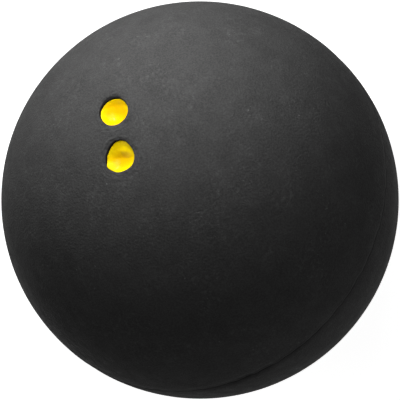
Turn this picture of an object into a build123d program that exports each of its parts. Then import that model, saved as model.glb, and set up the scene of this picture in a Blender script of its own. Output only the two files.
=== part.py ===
from build123d import *
import os
from math import asin, degrees, sqrt

# A squash ball: two moulded rubber half shells, bonded rim to rim around a sealed air space, with two
# painted dots sunk in one of them. Sizes are in millimetres. The origin is the ball's centre, the seam
# lies in the XY plane, and +Z runs out through the pole that the dots straddle, side by side along X.

# Ball and seam
ball_diameter = 40.0  # the rules of the game allow 39.5 to 40.5
wall = 5.2  # brings the rubber, at 1.2 g/cm3, to the 24 g of the rules
bond_film = 0.15  # cured rubber adhesive between the two rims
seam_round = 0.25  # rounding of each rim's outer edge, which leaves the seam's fine groove
bond_recess = 0.1  # how far the adhesive stops short of the ball's skin, in that groove

# Dots
dot_mouth = 3.0  # diameter of a dot's pit where it opens in the ball's surface
dot_pitch = 4.83  # straight distance between the centres of the two mouths
dot_taper = 0.1  # how much the pit's radius shrinks from its mouth to the foot of its wall
bare_wall = 0.27  # height of black wall left showing above the paint
painted_wall = 0.23  # height of wall that the paint climbs
bowl_depth = 0.85  # depth of the pit's rounded floor below the foot of its wall
left_film = 0.45  # thickness of the left dot's paint at the lowest point of its bowl
right_film = 0.2  # the same of the right dot, which holds less paint
lip_round = 0.12  # rounding of the mouth's edge

# Sizes that follow from those
ball_radius = ball_diameter / 2
cavity_radius = ball_radius - wall
rim_height = bond_film / 2
rim_outer_radius = sqrt(ball_radius**2 - rim_height**2)
rim_inner_radius = sqrt(cavity_radius**2 - rim_height**2)

# Heights along a dot's own axis, which runs out from the ball's centre
mouth_radius = dot_mouth / 2
mouth_height = sqrt(ball_radius**2 - mouth_radius**2)
foot_radius = mouth_radius - dot_taper
foot_height = mouth_height - bare_wall - painted_wall
floor_height = foot_height - bowl_depth
paint_edge_radius = mouth_radius - dot_taper * bare_wall / (bare_wall + painted_wall)
paint_edge_height = mouth_height - bare_wall
dot_tilt = degrees(asin(dot_pitch / 2 / mouth_height))


def turned(*outline):
    """The solid that a closed outline in the XZ half plane sweeps in a full turn about Z."""
    return revolve(Plane.XZ * make_face(outline), Axis.Z)


def bowl(low_height, edge_radius, edge_height):
    """Half of a round hollow, from its lowest point on the axis to its edge."""
    return TangentArc((0, low_height), (edge_radius, edge_height), tangent=(1, 0))


def half_shell():
    """One moulded half: outer and inner hemispheres, and a flat rim with a rounded outer edge."""
    outer_rim = (rim_outer_radius, rim_height)
    inner_rim = (rim_inner_radius, rim_height)
    blank = turned(
        bowl(cavity_radius, *inner_rim),
        Line(inner_rim, outer_rim),
        bowl(ball_radius, *outer_rim),
        Line((0, ball_radius), (0, cavity_radius)),
    )
    rim_edge = blank.edges().group_by(Axis.Z)[0].sort_by(SortBy.RADIUS)[-1]
    return fillet(rim_edge, seam_round)


def dot_pit():
    """The room that one dot takes out of the shell: a tapered wall over a rounded floor."""
    foot = (foot_radius, foot_height)
    mouth = (mouth_radius, mouth_height)
    clear_height = ball_radius + bowl_depth
    return turned(
        bowl(floor_height, *foot),
        Line(foot, mouth),
        Line(mouth, (mouth_radius, clear_height)),
        Line((mouth_radius, clear_height), (0, clear_height)),
        Line((0, clear_height), (0, floor_height)),
    )


def dot_paint(paint_film):
    """Paint in one pit: it lines the floor and climbs the wall, and its own face is a shallower bowl."""
    foot = (foot_radius, foot_height)
    edge = (paint_edge_radius, paint_edge_height)
    face_height = floor_height + paint_film
    return turned(
        bowl(floor_height, *foot),
        Line(foot, edge),
        bowl(face_height, *edge),
        Line((0, face_height), (0, floor_height)),
    )


def dotted_half_shell(dot_places):
    """The half shell that carries the dots, with the edge of each mouth rounded."""
    shell = half_shell()
    for place in dot_places:
        shell -= place * dot_pit()
    circles = shell.edges().filter_by(GeomType.CIRCLE)
    mid_wall_radius = (mouth_radius + foot_radius) / 2
    mouth_edges = circles.filter_by(lambda edge: mid_wall_radius < edge.radius < dot_mouth)
    return fillet(mouth_edges, lip_round)


def seam_ring():
    """The adhesive between the rims: a flat ring from the air space to just below the ball's skin."""
    outer = Cylinder(rim_outer_radius - bond_recess, bond_film)
    return outer - Cylinder(rim_inner_radius, bond_film)


dot_places = {"yellow_dot_left": Rot(Y=-dot_tilt), "yellow_dot_right": Rot(Y=dot_tilt)}
paint_films = {"yellow_dot_left": left_film, "yellow_dot_right": right_film}
parts = {
    "upper_half_shell": dotted_half_shell(dot_places.values()),
    "lower_half_shell": Rot(X=180) * half_shell(),
    "seam_bond": seam_ring(),
}
for name, place in dot_places.items():
    parts[name] = place * dot_paint(paint_films[name])

os.makedirs("parts", exist_ok=True)
for name, part in parts.items():
    export_step(part, f"parts/{name}.step")
    print(f"{name}: {part.volume:.2f} mm3")
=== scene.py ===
from math import acos, asin, cos, pi, radians, sin, sqrt, tan

import bpy
import numpy as np
from mathutils import Matrix, Quaternion, Vector
from mathutils.geometry import delaunay_2d_cdt
from mathutils.noise import fractal


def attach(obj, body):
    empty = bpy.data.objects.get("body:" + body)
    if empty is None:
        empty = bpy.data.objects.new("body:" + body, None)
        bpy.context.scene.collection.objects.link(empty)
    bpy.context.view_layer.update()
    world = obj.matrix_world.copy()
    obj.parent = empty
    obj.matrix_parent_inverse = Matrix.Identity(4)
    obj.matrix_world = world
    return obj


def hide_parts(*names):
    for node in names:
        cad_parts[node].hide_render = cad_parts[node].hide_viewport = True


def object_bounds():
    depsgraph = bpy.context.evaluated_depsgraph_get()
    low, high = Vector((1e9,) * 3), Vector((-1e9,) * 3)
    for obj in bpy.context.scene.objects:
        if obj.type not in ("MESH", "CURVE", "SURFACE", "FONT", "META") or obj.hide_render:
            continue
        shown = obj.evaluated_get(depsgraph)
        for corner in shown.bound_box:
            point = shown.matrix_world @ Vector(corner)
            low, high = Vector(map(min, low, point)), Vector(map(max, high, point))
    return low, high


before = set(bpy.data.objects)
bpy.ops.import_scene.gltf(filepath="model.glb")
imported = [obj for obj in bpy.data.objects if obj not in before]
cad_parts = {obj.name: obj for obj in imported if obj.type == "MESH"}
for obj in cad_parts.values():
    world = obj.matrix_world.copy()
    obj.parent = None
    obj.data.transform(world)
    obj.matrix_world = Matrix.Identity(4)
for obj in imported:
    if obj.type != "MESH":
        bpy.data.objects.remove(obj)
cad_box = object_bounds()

# The squash ball as it looks: two rubber half shells, the adhesive between them, and the paint in two sunk
# dots. Lengths are in metres in the CAD frame: the origin is the ball's centre, the seam lies in the XY
# plane, and the dots stand side by side along X round the pole on +Z. Each named turn is an angle in degrees,
# about Z or about a dot's own axis. Arrays of turns are in radians.
MM = 0.001

# Ball
ball_radius = (cad_box[1].z - cad_box[0].z) / 2
wall = 5.2 * MM
cavity_radius = ball_radius - wall
skin_depth = 0.3 * MM  # how deep below the skin the mesh still follows its relief
swell_height = 0.010 * MM
swell_size = 4.0 * MM
dimple_height = 0.0035 * MM
dimple_size = 1.1 * MM

# Seam: sizes of its waves are for a ring of radius 1
bond_film = 0.15 * MM
rim_height = bond_film / 2
seam_reach = 0.9 * MM  # how far the groove spreads over each half shell
seam_groove = 0.13 * MM  # the most that the groove's depth can be
groove_level = 0.24  # its usual depth, as a share of the most
groove_change = 0.2  # how much that share changes along the seam
groove_wave = 0.12
bond_recess = 0.0112 * MM  # how far the adhesive lies below the bottom of the groove
recess_share = 0.13  # and how much further, as a share of the groove's depth
bond_hollow = 2  # depth of the hollow in the adhesive's outer edge, as a multiple of its recess
seam_lean = 0.22 * MM  # how high the seam rises on one side, and sinks on the other
seam_lean_turn = 213
seam_wander = 0.05 * MM
seam_wander_wave = 0.25
seam_crinkle = 0.2 * MM
seam_crinkle_wave = 0.045
seam_wander_reach = 2.0 * MM  # how far from the seam the skin still moves with it

# Dots
mouth_radius = 1.5 * MM
dot_pitch = 4.83 * MM  # between the centres of the two mouths
dot_taper = 0.1 * MM  # how much the pit narrows from its mouth to the foot of its wall
wall_height = 0.5 * MM
bowl_depth = 0.85 * MM  # of the pit's rounded floor
mouth_height = sqrt(ball_radius**2 - mouth_radius**2)
foot_radius = mouth_radius - dot_taper
foot_height = mouth_height - wall_height
floor_height = foot_height - bowl_depth
dot_tilt = asin(dot_pitch / 2 / mouth_height)

# Mouths of the dots: widening and drift are shares of their radius
mouth_widening = 0.015
mouth_drift = 0.042
mouth_drift_turn = 50
climb_bulge = 0.3  # how far the mouth bulges where the paint has climbed, as a share of the climb
lip_drop = 0.09 * MM  # how far the lip lies below the ball's surface
lip_fall = 0.07 * MM  # and how much further on its lowest side
lip_spread = 30  # reach of that side, in degrees
lip_reach = 0.55 * MM  # how far from the mouth the skin starts to sink to the lip
sag_spread = 32  # reach of the skin's sag beside the lowest side of the lip, in degrees
sag_start = 0.2 * MM  # how far from the mouth the sag starts to fade
sag_end = 0.7 * MM

# Wrinkles in the skin round the dots
wrinkle_height = 0.045 * MM
wrinkle_width = 0.3 * MM
wrinkle_ring = 1.4  # radius of the ring on which their pattern runs round a dot, as a multiple of a bump
wrinkle_start = 0.3 * MM  # how far from the mouth the wrinkles start to fade
wrinkle_end = 1.6 * MM

# Paint
paint_drop = 0.42 * MM  # how far the paint's edge usually lies below the mouth
least_bare_wall = 0.02 * MM  # what the paint leaves bare below the lip where it has climbed highest
edge_wave = 0.45  # size of the waves in the paint's edge, for a ring of radius 1
fold_turn = -15  # the side on which the paint's face is folded up
fold_reach = 0.5  # the share of the radius over which the fold rises
slant_turn = -85  # the side to which the paint's face slants up

# Depths below the skin at which the colours change, as painted shade in the paint, the pits and the seam's
# groove
# Painted shade in the paint: deepest below the second depth, fading towards the first
paint_shade_end = 0.5 * MM
paint_shade_full = 0.92 * MM
# Painted shade in the pits and the seam's groove: gone above the first depth of each pair, full below the
# second
pit_shade_end = 0.09 * MM
pit_shade_full = 0.15 * MM
groove_shade_end = 0.005 * MM
groove_shade_full = 0.1 * MM
seam_shade_reach = 0.5 * MM  # how far beyond the groove the seam's painted shade can reach

# Random patterns
seed_steps = (1.0, 2.3, 3.7)  # how far one seed moves a pattern along each axis
octave_falloff = 1.0  # how fast the finer layers of a pattern weaken
octave_step = 2.0  # how much finer each layer is than the one before
most_noise = (0.3, 0.7)  # the range that holds most of the values of a noise texture

# How finely the meshes are divided
ball_columns = 400
skin_step = 0.3 * MM
seam_rows = 8
cavity_rows = 30
collar_reach = 5.6 * MM  # the finer mesh round the pole, which holds both dots
collar_step = 0.14 * MM
dot_reach = 2.25 * MM  # the finest mesh, in and round one dot
dot_columns = 112
floor_rows = 24
wall_rows = 8
lip_rows = 18
face_rows = 24
side_rows = 5
hole_share = 0.985  # the share of a dot's reach inside which the collar keeps no triangle
weld_gap = 1e-9  # places closer than this count as one
fill_hull = 0  # the kind of triangulation that fills the whole convex outline

# The photo: the camera's stand, and the radius of the ball's outline in its square frame
frame_pixels = 400
outline_pixels = 198.82
camera_distance = 305 * MM
camera_azimuth = -50.94
camera_elevation = 59.21
camera_roll = -51.6
camera_clip = 10 * MM  # nothing nearer to the camera is drawn

# Backdrop
floor_half = 2.0  # half the length of its sides
floor_gap = 0.02 * MM  # left free below the ball
floor_level = 0.6  # the share of light that the floor gives back
floor_glow = 0.95  # how bright it looks to the camera before any light falls on it
backdrop_light = 0.03  # how strongly the white backdrop lights the ball


def unit(points):
    """The points pushed out or in to a distance of one from the origin."""
    return points / np.linalg.norm(points, axis=-1, keepdims=True)


def smoothstep(low, high, values):
    """Rises smoothly from 0 at low to 1 at high."""
    share = np.clip((values - low) / (high - low), 0, 1)
    return share * share * (3 - 2 * share)


def rolling(points, size, octaves, seed):
    """Smooth random heights between about -1 and 1, with bumps of the given size."""
    shift = Vector([seed * step for step in seed_steps])
    places = [Vector(point) / size + shift for point in points]
    return np.array([fractal(place, octave_falloff, octave_step, octaves) for place in places])


def ring_turns(count):
    """Evenly spaced angles once round a ring."""
    return np.arange(count) * 2 * pi / count


def ring_wave(turns, crests, height, turn):
    """A wave with so many crests round a ring, one of them at the turn."""
    return height * np.cos(crests * (turns - radians(turn)))


def circle(turns, radius, height):
    """Points of a level ring about Z."""
    return np.column_stack((radius * np.cos(turns), radius * np.sin(turns), np.full(len(turns), height)))


class Hump:
    """A smooth rise and fall round a ring, with its top at a turn, and with a reach in degrees."""

    def __init__(self, height, turn, reach):
        self.height = height
        self.turn = radians(turn)
        self.reach = radians(reach)

    def at(self, turns):
        """Its height in each direction."""
        return self.height * np.exp((np.cos(turns - self.turn) - 1) / self.reach**2)


class Dot:
    """One sunk dot: its place on the ball, its uneven outline and how its paint lies.

    Oval and egg are shares of the mouth's radius, and fold is a share of the depth of the paint's hollow
    face. Slant is that face's slope. Ragged is how much the drop of the paint's edge changes, as a share.
    Climbs are the humps where the paint has climbed higher up the wall, and sag is how far the skin sinks
    beside the lowest side of the lip.
    """

    def __init__(
        self, name, side, lip_turn, sag, oval, oval_turn, egg, paint_film, fold, slant, ragged, climbs
    ):
        self.name = name
        self.axis = np.array((side * sin(dot_tilt), 0, cos(dot_tilt)))
        self.along = np.array((cos(dot_tilt), 0, -side * sin(dot_tilt)))
        self.across = np.cross(self.axis, self.along)
        self.lip_fall = Hump(height=lip_fall, turn=lip_turn, reach=lip_spread)
        self.sag = Hump(height=sag, turn=lip_turn, reach=sag_spread)
        self.oval = oval
        self.oval_turn = oval_turn
        self.egg = egg
        self.paint_film = paint_film
        self.fold = fold
        self.slant = slant
        self.ragged = ragged
        self.climbs = climbs

    def climb(self, turns):
        """How much higher than elsewhere the paint has climbed the wall in each direction."""
        return sum(hump.at(turns) for hump in self.climbs)

    def lip_depth(self, turns):
        """How far the mouth's lip lies below the ball's surface in each direction, deepest on one side."""
        return lip_drop + self.lip_fall.at(turns)

    def outline(self, turns):
        """How far the mouth reaches in each direction, as a share of its nominal radius."""
        oval = ring_wave(turns, crests=2, height=self.oval, turn=self.oval_turn)
        egg = ring_wave(turns, crests=3, height=self.egg, turn=0)
        drift = mouth_widening + ring_wave(turns, crests=1, height=mouth_drift, turn=mouth_drift_turn)
        return 1 + oval + egg + drift + climb_bulge * self.climb(turns) / mouth_radius

    def place(self, turns, radii, heights):
        """Points at these turns, radii and heights about the dot's axis, fitted to the mouth's outline."""
        inner = 1 - smoothstep(mouth_radius, dot_reach, radii)
        radii = radii * (1 + inner * (self.outline(turns) - 1))
        sideways = np.outer(np.cos(turns), self.along) + np.outer(np.sin(turns), self.across)
        return radii[:, None] * sideways + np.outer(heights, self.axis)

    def paint_edge(self, turns):
        """Radii and heights of the paint's uneven edge on the pit's wall."""
        ring = circle(turns, radius=1, height=self.axis[0])
        waves = self.ragged * rolling(ring, size=edge_wave, octaves=3, seed=8.0)
        lips = self.lip_depth(turns)
        bare = np.maximum(paint_drop * (1 + waves) - self.climb(turns) - lips, least_bare_wall)
        return mouth_radius - dot_taper * bare / (wall_height - lips), mouth_height - lips - bare

    def off_axis(self, points):
        """Distances from the dot's axis, with all points on the far side of the ball taken as far off."""
        along_axis = points @ self.axis
        distances = np.linalg.norm(points - np.outer(along_axis, self.axis), axis=1)
        return np.where(along_axis > 0, distances, 2 * ball_radius)


right_dot = Dot(
    name="yellow_dot_right",
    side=1,
    lip_turn=10,
    sag=0.07 * MM,
    oval=0.06,
    oval_turn=36,
    egg=0.0,
    paint_film=0.15 * MM,
    fold=0.1,
    slant=0.12,
    ragged=0.1,
    climbs=[
        Hump(height=0.08 * MM, turn=-30, reach=23),
        Hump(height=0.06 * MM, turn=85, reach=22),
    ],
)
left_dot = Dot(
    name="yellow_dot_left",
    side=-1,
    lip_turn=34,
    sag=0.0,
    oval=0.03,
    oval_turn=0,
    egg=0.05,
    paint_film=0.42 * MM,
    fold=0.44,
    slant=0.08,
    ragged=0.16,
    climbs=[
        Hump(height=0.16 * MM, turn=-30, reach=32),
        Hump(height=0.14 * MM, turn=112, reach=11),
        Hump(height=0.06 * MM, turn=80, reach=20),
    ],
)
dots = [right_dot, left_dot]

# Places on the seam where its groove is deeper, or worn away, by these shares of its greatest depth
deep_groove = Hump(height=0.4, turn=189, reach=9)
worn_groove = Hump(height=0.3, turn=262, reach=20)


def pucker(points):
    """Height of the wrinkles and the sag in the skin round the dots' mouths."""
    heights = np.zeros(len(points))
    for dot in dots:
        distances = dot.off_axis(points)
        near = distances < mouth_radius + wrinkle_end
        gap = distances[near] - mouth_radius
        turns = np.arctan2(points[near] @ dot.across, points[near] @ dot.along)
        ring = circle(turns, radius=wrinkle_ring, height=0)
        rings = np.column_stack((gap / wrinkle_width, ring[:, 0], ring[:, 1]))
        round_mouth = rolling(rings, size=1, octaves=2, seed=14.0 + dot.axis[0])
        any_way = rolling(points[near], size=wrinkle_width, octaves=2, seed=11.0)
        fade = 1 - smoothstep(wrinkle_start, wrinkle_end, gap)
        heights[near] += wrinkle_height * fade * (round_mouth + any_way)
        heights[near] -= dot.sag.at(turns) * (1 - smoothstep(sag_start, sag_end, gap))
    return heights


def groove(turns):
    """Depth of the seam's groove: deepest at one place, and worn away by the buffing at another."""
    changes = rolling(circle(turns, radius=1, height=0), size=groove_wave, octaves=3, seed=29.0)
    share = groove_level + deep_groove.at(turns) - worn_groove.at(turns) + groove_change * changes
    return seam_groove * np.clip(share, 0, 1)


def seam_dip(points):
    """How far the skin dips into the seam's groove."""
    depths = np.zeros(len(points))
    gap = np.abs(points[:, 2]) - rim_height
    near = gap < seam_reach
    turns = np.arctan2(points[near, 1], points[near, 0])
    depths[near] = groove(turns) * (1 - smoothstep(0, seam_reach, gap[near]))
    return depths


def relief(points):
    """How far the moulded, buffed skin stands off a true sphere."""
    swell = swell_height * rolling(points, size=swell_size, octaves=2, seed=1.0)
    dimples = dimple_height * rolling(points, size=dimple_size, octaves=2, seed=5.0)
    return swell + dimples + pucker(points) - seam_dip(points)


def wander(points):
    """Points moved up or down with the seam, which isn't perfectly straight."""
    near = np.flatnonzero(np.abs(points[:, 2]) < seam_wander_reach)
    fade = 1 - smoothstep(0, seam_wander_reach, np.abs(points[near, 2]))
    ring = unit(points[near] * np.array((1, 1, 0)))
    lean = ring_wave(np.arctan2(ring[:, 1], ring[:, 0]), crests=1, height=seam_lean, turn=seam_lean_turn)
    waves = seam_wander * rolling(ring, size=seam_wander_wave, octaves=3, seed=17.0)
    crinkles = seam_crinkle * rolling(ring, size=seam_crinkle_wave, octaves=2, seed=37.0)
    points = points.copy()
    points[near, 2] += fade * (lean + waves + crinkles)
    return points


def weather(points):
    """A half shell's points, with the skin's relief and the seam's slight wander."""
    distances = np.linalg.norm(points, axis=1)
    outside = np.flatnonzero(distances > ball_radius - skin_depth)
    share = smoothstep(ball_radius - skin_depth, ball_radius, distances[outside])
    heights = relief(points[outside]) * share
    points = points.copy()
    points[outside] *= 1 + (heights / distances[outside])[:, None]
    return wander(points)


def add_piece(name, node, points, faces, material):
    """A smooth mesh object that stands for a CAD node."""
    mesh = bpy.data.meshes.new(name)
    mesh.from_pydata([tuple(point) for point in points], [], faces)
    mesh.validate()
    mesh.shade_smooth()
    mesh.materials.append(material)
    piece = bpy.data.objects.new(name, mesh)
    bpy.context.scene.collection.objects.link(piece)
    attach(piece, "root")
    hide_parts(node)


def add_ring(points, rings, ring):
    """Adds a ring's points to the points, and their vertex numbers to the rings."""
    rings.append(list(range(len(points), len(points) + len(ring))))
    points.extend(ring)


def band_faces(rings):
    """Quads from each ring of vertex numbers to the next."""
    faces = []
    for first, second in zip(rings, rings[1:]):
        for i in range(len(first)):
            following = (i + 1) % len(first)
            faces.append((first[i], second[i], second[following], first[following]))
    return faces


def fan_faces(tip, ring):
    """Triangles from one vertex number to a ring of them."""
    return [(tip, ring[i], ring[(i + 1) % len(ring)]) for i in range(len(ring))]


def bowl_rise(radii, edge_radius, depth):
    """How far a round bowl has risen from its lowest point at these radii."""
    bowl_radius = (edge_radius**2 + depth**2) / (2 * depth)
    return bowl_radius - np.sqrt(bowl_radius**2 - radii**2)


def pit_floor():
    """The pit's rounded floor, from its lowest point to the foot of the wall: radii and heights."""
    radii = np.linspace(0, foot_radius, floor_rows)
    return np.column_stack((radii, floor_height + bowl_rise(radii, foot_radius, bowl_depth)))


def pit_profile(dot, turns):
    """The rings of a pit from its floor, up its wall and over its wide lip to the skin: radii and heights."""
    lips = dot.lip_depth(turns)
    rings = list(pit_floor())
    for share in np.linspace(0, 1, wall_rows)[1:]:
        rings.append((foot_radius + share * dot_taper, foot_height + share * (wall_height - lips)))
    for radius in np.linspace(mouth_radius, dot_reach, lip_rows)[1:]:
        sunk = max(1 - (radius - mouth_radius) / lip_reach, 0) ** 2
        rings.append((radius, sqrt(ball_radius**2 - radius**2) - lips * sunk))
    return rings


def dot_disc(dot, points):
    """Adds the points of the skin in and round one dot. Gives its faces and the numbers of its outer ring."""
    turns = ring_turns(dot_columns)
    lowest = len(points)
    points.append(dot.axis * floor_height)
    rings = []
    for radius, heights in pit_profile(dot, turns)[1:]:
        add_ring(points, rings, dot.place(turns, radius, heights))
    return fan_faces(lowest, rings[0]) + band_faces(rings), rings[-1]


def dot_paint(dot):
    """The paint in one pit: a hollow face with an uneven edge on the wall, and the pit's own shape below."""
    turns = ring_turns(dot_columns)
    edge_radii, edge_heights = dot.paint_edge(turns)
    face_height = floor_height + dot.paint_film
    depths = edge_heights - face_height
    points = [dot.axis * face_height]
    rings = []
    for share in np.linspace(0, 1, face_rows)[1:]:
        radii = edge_radii * share
        rise = bowl_rise(radii, edge_radii, depths)
        folded = smoothstep(0, fold_reach, ring_wave(turns, crests=1, height=share, turn=fold_turn))
        slope = ring_wave(turns, crests=1, height=dot.slant, turn=slant_turn)
        lift = dot.fold * depths * folded + slope * radii
        add_ring(points, rings, dot.place(turns, radii, face_height + rise + lift * (1 - share**2)))
    for share in np.linspace(1, 0, side_rows)[1:-1]:
        radii = foot_radius + (edge_radii - foot_radius) * share
        heights = foot_height + (edge_heights - foot_height) * share
        add_ring(points, rings, dot.place(turns, radii, heights))
    for radius, height in pit_floor()[:0:-1]:
        add_ring(points, rings, dot.place(turns, radius, height))
    faces = fan_faces(0, rings[0]) + band_faces(rings) + fan_faces(len(points), rings[-1][::-1])
    points.append(dot.axis * floor_height)
    return np.array(points), faces


def on_map(points):
    """Points of the skin round the pole laid out flat: distance along the skin, kept in its direction."""
    directions = unit(points)
    reach = np.arccos(np.clip(directions[:, 2], -1, 1)) * ball_radius
    across = np.linalg.norm(directions[:, :2], axis=1)
    return directions[:, :2] * (reach / across)[:, None]


def off_map(flat):
    """The skin's points for places on the flat map."""
    tilt = np.linalg.norm(flat, axis=1) / ball_radius
    return np.column_stack((flat * np.sinc(tilt / pi)[:, None], ball_radius * np.cos(tilt)))


def hex_grid(reach, step):
    """A grid of evenly spaced places inside a circle, with every other row shifted by half a step."""
    row_step = step * sqrt(3) / 2
    rows = int(reach / row_step) + 1
    cols = int(reach / step) + 1
    places = []
    for row in range(-rows, rows + 1):
        for col in range(-cols, cols + 1):
            places.append(((col + row % 2 / 2) * step, row * row_step))
    places = np.array(places)
    return places[np.linalg.norm(places, axis=1) < reach - step / 2]


def collar(points, holes, rim):
    """Adds the skin's points between the dots' outer rings and the plain grid's rim, and gives its faces."""
    borders = [*holes, rim]
    numbers = [number for border in borders for number in border]
    edges = []
    for border in borders:
        start = len(edges)
        edges += [(start + i, start + (i + 1) % len(border)) for i in range(len(border))]
    flat_borders = [on_map(np.array([points[number] for number in border])) for border in borders]
    places = hex_grid(collar_reach, collar_step)
    clearings = []
    for ring in flat_borders[:-1]:
        centre = ring.mean(axis=0)
        reach = np.linalg.norm(ring - centre, axis=1).max()
        clearings.append((centre, reach * hole_share))
        places = places[np.linalg.norm(places - centre, axis=1) > reach + collar_step / 2]
    flat = np.vstack((*flat_borders, places))
    found = delaunay_2d_cdt([Vector(place) for place in flat], edges, [], fill_hull, weld_gap)
    _, _, triangles, sources, _, _ = found
    numbers += range(len(points), len(points) + len(places))
    points.extend(off_map(places))
    faces = []
    for triangle in triangles:
        corners = [sources[i][0] for i in triangle]
        middle = flat[corners].mean(axis=0)
        if all(np.linalg.norm(middle - centre) > reach for centre, reach in clearings):
            faces.append(tuple(numbers[i] for i in corners))
    return faces


def half_shell(own_dots):
    """A closed half shell, pole up: the skin with its dots, the flat rim and the wall of the air space."""
    points, faces, holes, rings = [], [], [], []
    for dot in own_dots:
        disc_faces, outer_ring = dot_disc(dot, points)
        faces.extend(disc_faces)
        holes.append(outer_ring)
    collar_tilt = collar_reach / ball_radius
    groove_tilt = acos((rim_height + seam_reach) / ball_radius)
    skin_rows = int((groove_tilt - collar_tilt) * ball_radius / skin_step)
    skin_tilts = np.linspace(collar_tilt, groove_tilt, skin_rows)
    groove_tilts = np.linspace(groove_tilt, acos(rim_height / ball_radius), seam_rows)[1:]
    cavity_tilts = np.linspace(acos(rim_height / cavity_radius), 0, cavity_rows, endpoint=False)
    turns = ring_turns(ball_columns)
    for tilt in (*skin_tilts, *groove_tilts):
        add_ring(points, rings, circle(turns, ball_radius * sin(tilt), ball_radius * cos(tilt)))
    for tilt in cavity_tilts:
        add_ring(points, rings, circle(turns, cavity_radius * sin(tilt), cavity_radius * cos(tilt)))
    faces.extend(collar(points, holes, rings[0]))
    faces.extend(band_faces(rings))
    faces.extend(fan_faces(len(points), rings[-1][::-1]))
    points.append((0, 0, cavity_radius))
    return np.array(points), faces


def bond_ring():
    """The adhesive between the rims: a flat ring with a slightly hollow, uneven outer edge."""
    turns = ring_turns(ball_columns)
    depths = groove(turns)
    recess = bond_recess + recess_share * depths
    outer_radius = ball_radius - depths - recess
    inner_radius = sqrt(cavity_radius**2 - rim_height**2)
    points, rings = [], []
    add_ring(points, rings, circle(turns, inner_radius, rim_height))
    add_ring(points, rings, circle(turns, outer_radius, rim_height))
    add_ring(points, rings, circle(turns, outer_radius - bond_hollow * recess, 0))
    add_ring(points, rings, circle(turns, outer_radius, -rim_height))
    add_ring(points, rings, circle(turns, inner_radius, -rim_height))
    return np.array(points), band_faces(rings + rings[:1])


def grey(level):
    """A grey with its alpha."""
    return (level, level, level, 1)


def add_node(tree, kind, inputs, **settings):
    """A new shader node with its settings made and its sockets set or linked."""
    made = tree.nodes.new(kind)
    for name, value in settings.items():
        setattr(made, name, value)
    for name, value in inputs.items():
        if isinstance(value, bpy.types.NodeSocket):
            tree.links.new(value, made.inputs[name])
        else:
            made.inputs[name].default_value = value
    return made


def object_place(tree):
    """The place on the object, from one node that a material's textures share."""
    made = tree.nodes.get("Texture Coordinate") or add_node(tree, "ShaderNodeTexCoord", {})
    return made.outputs["Object"]


def from_centre(tree):
    """Distance from the ball's centre."""
    made = add_node(tree, "ShaderNodeVectorMath", {0: object_place(tree)}, operation="LENGTH")
    return made.outputs["Value"]


def from_seam(tree):
    """Distance from the plane of the seam."""
    height = add_node(tree, "ShaderNodeSeparateXYZ", {"Vector": object_place(tree)}).outputs["Z"]
    return add_node(tree, "ShaderNodeMath", {0: height}, operation="ABSOLUTE").outputs[0]


def combine(tree, operation, first, second):
    """One value from two."""
    return add_node(tree, "ShaderNodeMath", {0: first, 1: second}, operation=operation).outputs[0]


def spread(tree, value, within, onto):
    """A value spread from one range onto another."""
    inputs = {"Value": value}
    inputs["From Min"], inputs["From Max"] = within
    inputs["To Min"], inputs["To Max"] = onto
    return add_node(tree, "ShaderNodeMapRange", inputs).outputs["Result"]


def noise(tree, size, detail):
    """Smooth random values between 0 and 1, with bumps of the given size on the object."""
    inputs = {"Vector": object_place(tree), "Scale": 1 / size, "Detail": detail}
    return add_node(tree, "ShaderNodeTexNoise", inputs).outputs["Fac"]


def clouds(tree, size, detail, within, onto):
    """Noise of which one range is spread onto another."""
    return spread(tree, noise(tree, size, detail), within, onto)


def blend(tree, share, first, second):
    """A colour between two. The node has sockets for each kind of value; these numbers are the colours'."""
    share_socket, first_socket, second_socket, result_socket = 0, 6, 7, 2
    inputs = {share_socket: share, first_socket: first, second_socket: second}
    return add_node(tree, "ShaderNodeMix", inputs, data_type="RGBA").outputs[result_socket]


def bump(tree, height, depth):
    """Surface normals for a height from 0 to 1 that stands for the given depth."""
    return add_node(tree, "ShaderNodeBump", {"Height": height, "Distance": depth}).outputs["Normal"]


def new_material(name, **values):
    """A material with its shader's plain values set, its node tree and its shader."""
    material = bpy.data.materials.new(name)
    material.use_nodes = True
    shader = material.node_tree.nodes["Principled BSDF"]
    for socket, value in values.items():
        shader.inputs[socket.replace("_", " ")].default_value = value
    return material, material.node_tree, shader


def connect(tree, shader, values):
    """Links values to the shader's sockets of these names."""
    for socket, value in values.items():
        tree.links.new(value, shader.inputs[socket])


def rubber_skin(tree):
    """Colour of the buffed rubber: slightly mottled and finely grained, with patches of light dust."""
    dark_rubber = grey(0.040)
    light_rubber = grey(0.0595)
    dust_colour = grey(0.16)
    mottling = clouds(tree, size=2.0 * MM, detail=4, within=most_noise, onto=(0, 0.5))
    grain = clouds(tree, size=0.16 * MM, detail=2, within=(0.35, 0.65), onto=(-0.15, 0.65))
    skin = blend(tree, combine(tree, "ADD", mottling, grain), dark_rubber, light_rubber)
    patches = clouds(tree, size=3.0 * MM, detail=2, within=(0.45, 0.6), onto=(0.1, 1))
    film = clouds(tree, size=0.4 * MM, detail=2, within=(0.5, 0.8), onto=(0, 0.2))
    specks = clouds(tree, size=0.25 * MM, detail=1, within=(0.73, 0.83), onto=(0, 0.8))
    dust = combine(tree, "MULTIPLY", combine(tree, "ADD", film, specks), patches)
    return blend(tree, dust, skin, dust_colour)


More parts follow.
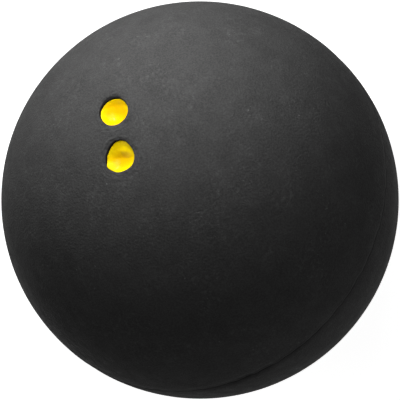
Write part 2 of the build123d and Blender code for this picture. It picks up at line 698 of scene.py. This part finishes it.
def rubber_material():
    """Matt black rubber, with painted shade that darkens it with depth below the skin in the pits and in the
    seam's groove.
    """
    material, tree, shader = new_material("rubber", IOR=1.06)
    # Painted shade: the rubber darkens to this colour with depth in the pits and the seam's groove
    painted_shade_colour = grey(0.015)
    distance = from_centre(tree)
    pit_shade_depths = (ball_radius - pit_shade_full, ball_radius - pit_shade_end)
    out_of_pit_shade = spread(tree, distance, within=pit_shade_depths, onto=(0, 1))
    groove_shade_depths = (ball_radius - groove_shade_full, ball_radius - groove_shade_end)
    out_of_groove_shade = spread(tree, distance, within=groove_shade_depths, onto=(0, 1))
    off_seam_shade = spread(tree, from_seam(tree), within=(seam_reach, seam_reach + seam_shade_reach), onto=(0, 1))
    # Where there is no painted shade: above the pits' and the groove's shaded depths, or away from the seam
    unshaded = combine(tree, "MULTIPLY", combine(tree, "MAXIMUM", out_of_groove_shade, off_seam_shade), out_of_pit_shade)
    colour = blend(tree, unshaded, painted_shade_colour, rubber_skin(tree))
    roughness = clouds(tree, size=0.8 * MM, detail=3, within=most_noise, onto=(0.62, 0.78))
    grit = bump(tree, noise(tree, size=0.2 * MM, detail=2), depth=0.065 * MM)
    connect(tree, shader, {"Base Color": colour, "Roughness": roughness, "Normal": grit})
    return material


def paint_material():
    """Glossy yellow paint with a faint orange peel, with painted shade that makes it darker and more orange
    low in the pit than near its edge.
    """
    material, tree, shader = new_material("dot_paint", IOR=1.16, Roughness=0.27)
    # Painted shade: the yellow darkens towards this colour low in the pit
    painted_shade_yellow = (0.81, 0.48, 0.001, 1)
    pale_colour = (0.99, 0.74, 0.002, 1)
    paint_shade_depths = (ball_radius - paint_shade_full, ball_radius - paint_shade_end)
    # How far the paint's painted shade has faded at each place
    height = spread(tree, from_centre(tree), within=paint_shade_depths, onto=(0, 0.85))
    uneven = clouds(tree, size=0.5 * MM, detail=2, within=most_noise, onto=(0, 0.15))
    colour = blend(tree, combine(tree, "ADD", height, uneven), painted_shade_yellow, pale_colour)
    peel = bump(tree, noise(tree, size=0.3 * MM, detail=1), depth=0.02 * MM)
    connect(tree, shader, {"Base Color": colour, "Normal": peel})
    return material


def adhesive_material():
    """Cured black rubber adhesive, satin and a little uneven."""
    material, tree, shader = new_material("adhesive", IOR=1.15)
    dark_adhesive = grey(0.036)
    light_adhesive = grey(0.046)
    uneven = clouds(tree, size=0.6 * MM, detail=3, within=most_noise, onto=(0, 1))
    colour = blend(tree, uneven, dark_adhesive, light_adhesive)
    roughness = spread(tree, uneven, within=(0, 1), onto=(0.45, 0.6))
    connect(tree, shader, {"Base Color": colour, "Roughness": roughness})
    return material


def seen_plainly(tree):
    """1 for rays from the camera, or that show the background in gloss or glass, and 0 for other rays."""
    path = add_node(tree, "ShaderNodeLightPath", {})
    total = path.outputs["Is Camera Ray"]
    for name in ("Is Glossy Ray", "Is Transmission Ray"):
        total = combine(tree, "MAXIMUM", total, path.outputs[name])
    return total


def make_floor():
    """A large pale floor that looks white in the photo and keeps a faint shadow of the ball."""
    material, tree, shader = new_material(
        "floor",
        Base_Color=grey(floor_level),
        Roughness=1.0,
        Specular_IOR_Level=0.0,
        Emission_Color=grey(1),
    )
    glow = spread(tree, seen_plainly(tree), within=(0, 1), onto=(0, floor_glow))
    connect(tree, shader, {"Emission Strength": glow})
    corners = [(-1, -1), (1, -1), (1, 1), (-1, 1)]
    points = [(x * floor_half, y * floor_half, -ball_radius - floor_gap) for x, y in corners]
    mesh = bpy.data.meshes.new("floor")
    mesh.from_pydata(points, [], [(0, 1, 2, 3)])
    mesh.materials.append(material)
    floor = bpy.data.objects.new("floor", mesh)
    bpy.context.scene.collection.objects.link(floor)


def make_world():
    """A white backdrop all round, which itself lights the ball only weakly."""
    world = bpy.data.worlds.new("world")
    bpy.context.scene.world = world
    world.use_nodes = True
    tree = world.node_tree
    background = tree.nodes["Background"]
    background.inputs["Color"].default_value = grey(1)
    strength = spread(tree, seen_plainly(tree), within=(0, 1), onto=(backdrop_light, 1))
    connect(tree, background, {"Strength": strength})


def make_camera():
    """The camera where the photo was taken from, with the ball's outline as large as in the photo."""
    data = bpy.data.cameras.new("camera")
    half_tangent = tan(asin(ball_radius / camera_distance)) * frame_pixels / 2 / outline_pixels
    data.lens = data.sensor_width / 2 / half_tangent
    data.clip_start = camera_clip
    camera = bpy.data.objects.new("camera", data)
    azimuth, elevation = radians(camera_azimuth), radians(camera_elevation)
    back = Vector((sin(azimuth) * cos(elevation), -cos(azimuth) * cos(elevation), sin(elevation)))
    camera.location = back * camera_distance
    camera.rotation_mode = "QUATERNION"
    roll = Quaternion((0, 0, 1), radians(camera_roll))
    camera.rotation_quaternion = (-back).to_track_quat("-Z", "Y") @ roll
    bpy.context.scene.collection.objects.link(camera)
    bpy.context.scene.camera = camera
    return camera


def softbox(camera, name, lean, off, distance, width, length, level):
    """A soft lamp that faces the ball.

    It leans from straight up in the photo towards the left, and stands off the camera's line of sight, both
    in degrees. Its level is the brightness that it alone would give a white card at the ball's centre.
    """
    lean, off = radians(lean), radians(off)
    up = Vector((-sin(lean), cos(lean), 0))
    back = Vector((0, 0, 1))
    outward = up * sin(off) + back * cos(off)
    along = back * sin(off) - up * cos(off)
    turn = Matrix((along.cross(outward), along, outward)).transposed().to_quaternion()
    light = bpy.data.lights.new(name, "AREA")
    light.shape = "RECTANGLE"
    light.size = width
    light.size_y = length
    light.energy = level * pi**2 * distance**2
    lamp = bpy.data.objects.new(name, light)
    lamp.location = camera.rotation_quaternion @ outward * distance
    lamp.rotation_mode = "QUATERNION"
    lamp.rotation_quaternion = camera.rotation_quaternion @ turn
    lamp.visible_camera = False
    bpy.context.scene.collection.objects.link(lamp)


rubber = rubber_material()
paint = paint_material()
points, faces = half_shell(dots)
add_piece("upper_shell", "upper_half_shell", weather(points), faces, rubber)
points, faces = half_shell([])
turned_over = points * np.array((1, -1, -1))
add_piece("lower_shell", "lower_half_shell", weather(turned_over), faces, rubber)
points, faces = bond_ring()
add_piece("bond_ring", "seam_bond", wander(points), faces, adhesive_material())
for dot in dots:
    points, faces = dot_paint(dot)
    add_piece(dot.name.replace("yellow_dot", "paint"), dot.name, points, faces, paint)

camera = make_camera()
make_floor()
make_world()
softbox(camera, "key", lean=24, off=62, distance=60 * MM, width=4 * MM, length=3 * MM, level=0.48)
softbox(camera, "strip", lean=5, off=60, distance=60 * MM, width=3 * MM, length=20 * MM, level=0.15)
softbox(camera, "left", lean=30, off=40, distance=60 * MM, width=20 * MM, length=20 * MM, level=0.362)
softbox(camera, "high", lean=0, off=40, distance=60 * MM, width=20 * MM, length=20 * MM, level=0.127)
softbox(camera, "top", lean=-20, off=55, distance=70 * MM, width=20 * MM, length=20 * MM, level=0.086)
softbox(camera, "rim", lean=66, off=115, distance=100 * MM, width=20 * MM, length=20 * MM, level=0.2)
softbox(camera, "side", lean=110, off=70, distance=100 * MM, width=30 * MM, length=30 * MM, level=0.078)
softbox(camera, "right", lean=-140, off=50, distance=100 * MM, width=30 * MM, length=30 * MM, level=0.092)

bpy.context.scene.view_settings.view_transform = "Standard"
